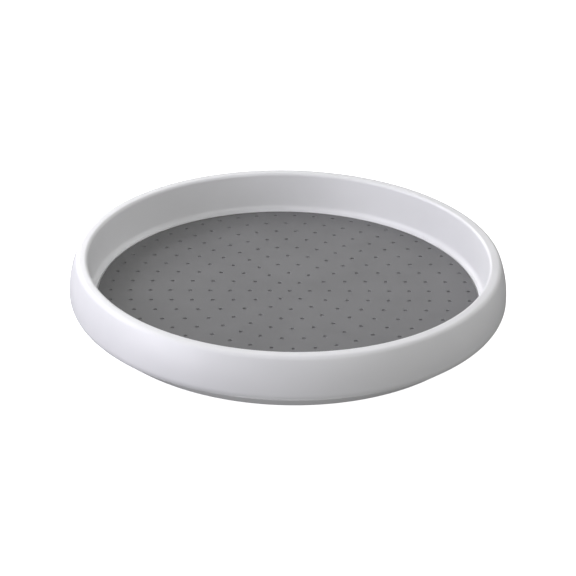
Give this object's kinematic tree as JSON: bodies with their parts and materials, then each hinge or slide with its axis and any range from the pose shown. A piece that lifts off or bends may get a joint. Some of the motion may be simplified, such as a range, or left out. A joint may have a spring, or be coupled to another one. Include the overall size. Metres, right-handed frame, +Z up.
{
  "type": "lazy susan turntable",
  "caption": "Free-standing round turntable with a tall rolled rim and a dimpled non-slip mat, turning freely on a low base with a caged ball bearing.",
  "frame": {"origin": "on the surface that the feet stand on, on the axis that the tray turns about", "axes": "+Z up along the turning axis; +X through the first foot and the first ball; +Y completes a right-handed frame"},
  "size_m": [0.3048, 0.3048, 0.045],
  "materials": {
    "white_plastic": "white moulded polypropylene, satin",
    "grey_mat": "grey thermoplastic elastomer, matte, fine texture",
    "foot_rubber": "dark grey rubber, matte",
    "acetal": "natural acetal, low friction",
    "ball_steel": "polished bearing steel",
    "zinc_steel": "zinc plated steel"
  },
  "bodies": {
    "base": {"base": "white_plastic", "foot_1": "foot_rubber", "foot_2": "foot_rubber", "foot_3": "foot_rubber", "foot_4": "foot_rubber", "foot_5": "foot_rubber", "foot_6": "foot_rubber", "hub_bushing": "acetal", "hub_cap": "white_plastic"},
    "turntable": {"tray": "white_plastic", "underside_ring": "white_plastic", "nonslip_mat": "grey_mat", "pivot_washer": "zinc_steel", "pivot_screw": "zinc_steel"},
    "cage": {"ball_cage": "acetal"},
    "ball_01": {"ball_01": "ball_steel"},
    "ball_02": {"ball_02": "ball_steel"},
    "ball_03": {"ball_03": "ball_steel"},
    "ball_04": {"ball_04": "ball_steel"},
    "ball_05": {"ball_05": "ball_steel"},
    "ball_06": {"ball_06": "ball_steel"},
    "ball_07": {"ball_07": "ball_steel"},
    "ball_08": {"ball_08": "ball_steel"},
    "ball_09": {"ball_09": "ball_steel"},
    "ball_10": {"ball_10": "ball_steel"},
    "ball_11": {"ball_11": "ball_steel"},
    "ball_12": {"ball_12": "ball_steel"},
    "ball_13": {"ball_13": "ball_steel"},
    "ball_14": {"ball_14": "ball_steel"},
    "ball_15": {"ball_15": "ball_steel"},
    "ball_16": {"ball_16": "ball_steel"},
    "ball_17": {"ball_17": "ball_steel"},
    "ball_18": {"ball_18": "ball_steel"}
  },
  "joints": [
    {"name": "tray_spin", "type": "hinge", "parent": "base", "child": "turntable", "pos_m": [0, 0, 0], "axis": [0, 0, 1], "continuous": true},
    {"name": "cage_spin", "type": "hinge", "parent": "base", "child": "cage", "pos_m": [0, 0, 0], "axis": [0, 0, 1], "continuous": true},
    {"name": "ball_01_roll", "type": "hinge", "parent": "cage", "child": "ball_01", "pos_m": [0.075, 0, 0.0071], "axis": [1, 0, 0], "continuous": true},
    {"name": "ball_02_roll", "type": "hinge", "parent": "cage", "child": "ball_02", "pos_m": [0.07048, 0.02565, 0.0071], "axis": [0.9397, 0.342, 0], "continuous": true},
    {"name": "ball_03_roll", "type": "hinge", "parent": "cage", "child": "ball_03", "pos_m": [0.05745, 0.04821, 0.0071], "axis": [0.766, 0.6428, 0], "continuous": true},
    {"name": "ball_04_roll", "type": "hinge", "parent": "cage", "child": "ball_04", "pos_m": [0.0375, 0.06495, 0.0071], "axis": [0.5, 0.866, 0], "continuous": true},
    {"name": "ball_05_roll", "type": "hinge", "parent": "cage", "child": "ball_05", "pos_m": [0.01302, 0.07386, 0.0071], "axis": [0.1736, 0.9848, 0], "continuous": true},
    {"name": "ball_06_roll", "type": "hinge", "parent": "cage", "child": "ball_06", "pos_m": [-0.01302, 0.07386, 0.0071], "axis": [-0.1736, 0.9848, 0], "continuous": true},
    {"name": "ball_07_roll", "type": "hinge", "parent": "cage", "child": "ball_07", "pos_m": [-0.0375, 0.06495, 0.0071], "axis": [-0.5, 0.866, 0], "continuous": true},
    {"name": "ball_08_roll", "type": "hinge", "parent": "cage", "child": "ball_08", "pos_m": [-0.05745, 0.04821, 0.0071], "axis": [-0.766, 0.6428, 0], "continuous": true},
    {"name": "ball_09_roll", "type": "hinge", "parent": "cage", "child": "ball_09", "pos_m": [-0.07048, 0.02565, 0.0071], "axis": [-0.9397, 0.342, 0], "continuous": true},
    {"name": "ball_10_roll", "type": "hinge", "parent": "cage", "child": "ball_10", "pos_m": [-0.075, 0, 0.0071], "axis": [-1, 0, 0], "continuous": true},
    {"name": "ball_11_roll", "type": "hinge", "parent": "cage", "child": "ball_11", "pos_m": [-0.07048, -0.02565, 0.0071], "axis": [-0.9397, -0.342, 0], "continuous": true},
    {"name": "ball_12_roll", "type": "hinge", "parent": "cage", "child": "ball_12", "pos_m": [-0.05745, -0.04821, 0.0071], "axis": [-0.766, -0.6428, 0], "continuous": true},
    {"name": "ball_13_roll", "type": "hinge", "parent": "cage", "child": "ball_13", "pos_m": [-0.0375, -0.06495, 0.0071], "axis": [-0.5, -0.866, 0], "continuous": true},
    {"name": "ball_14_roll", "type": "hinge", "parent": "cage", "child": "ball_14", "pos_m": [-0.01302, -0.07386, 0.0071], "axis": [-0.1736, -0.9848, 0], "continuous": true},
    {"name": "ball_15_roll", "type": "hinge", "parent": "cage", "child": "ball_15", "pos_m": [0.01302, -0.07386, 0.0071], "axis": [0.1736, -0.9848, 0], "continuous": true},
    {"name": "ball_16_roll", "type": "hinge", "parent": "cage", "child": "ball_16", "pos_m": [0.0375, -0.06495, 0.0071], "axis": [0.5, -0.866, 0], "continuous": true},
    {"name": "ball_17_roll", "type": "hinge", "parent": "cage", "child": "ball_17", "pos_m": [0.05745, -0.04821, 0.0071], "axis": [0.766, -0.6428, 0], "continuous": true},
    {"name": "ball_18_roll", "type": "hinge", "parent": "cage", "child": "ball_18", "pos_m": [0.07048, -0.02565, 0.0071], "axis": [0.9397, -0.342, 0], "continuous": true}
  ],
  "couplings": [
    {"joint": "cage_spin", "follows": "tray_spin", "ratio": 0.5},
    {"joint": "ball_01_roll", "follows": "tray_spin", "ratio": -15},
    {"joint": "ball_02_roll", "follows": "tray_spin", "ratio": -15},
    {"joint": "ball_03_roll", "follows": "tray_spin", "ratio": -15},
    {"joint": "ball_04_roll", "follows": "tray_spin", "ratio": -15},
    {"joint": "ball_05_roll", "follows": "tray_spin", "ratio": -15},
    {"joint": "ball_06_roll", "follows": "tray_spin", "ratio": -15},
    {"joint": "ball_07_roll", "follows": "tray_spin", "ratio": -15},
    {"joint": "ball_08_roll", "follows": "tray_spin", "ratio": -15},
    {"joint": "ball_09_roll", "follows": "tray_spin", "ratio": -15},
    {"joint": "ball_10_roll", "follows": "tray_spin", "ratio": -15},
    {"joint": "ball_11_roll", "follows": "tray_spin", "ratio": -15},
    {"joint": "ball_12_roll", "follows": "tray_spin", "ratio": -15},
    {"joint": "ball_13_roll", "follows": "tray_spin", "ratio": -15},
    {"joint": "ball_14_roll", "follows": "tray_spin", "ratio": -15},
    {"joint": "ball_15_roll", "follows": "tray_spin", "ratio": -15},
    {"joint": "ball_16_roll", "follows": "tray_spin", "ratio": -15},
    {"joint": "ball_17_roll", "follows": "tray_spin", "ratio": -15},
    {"joint": "ball_18_roll", "follows": "tray_spin", "ratio": -15}
  ]
}
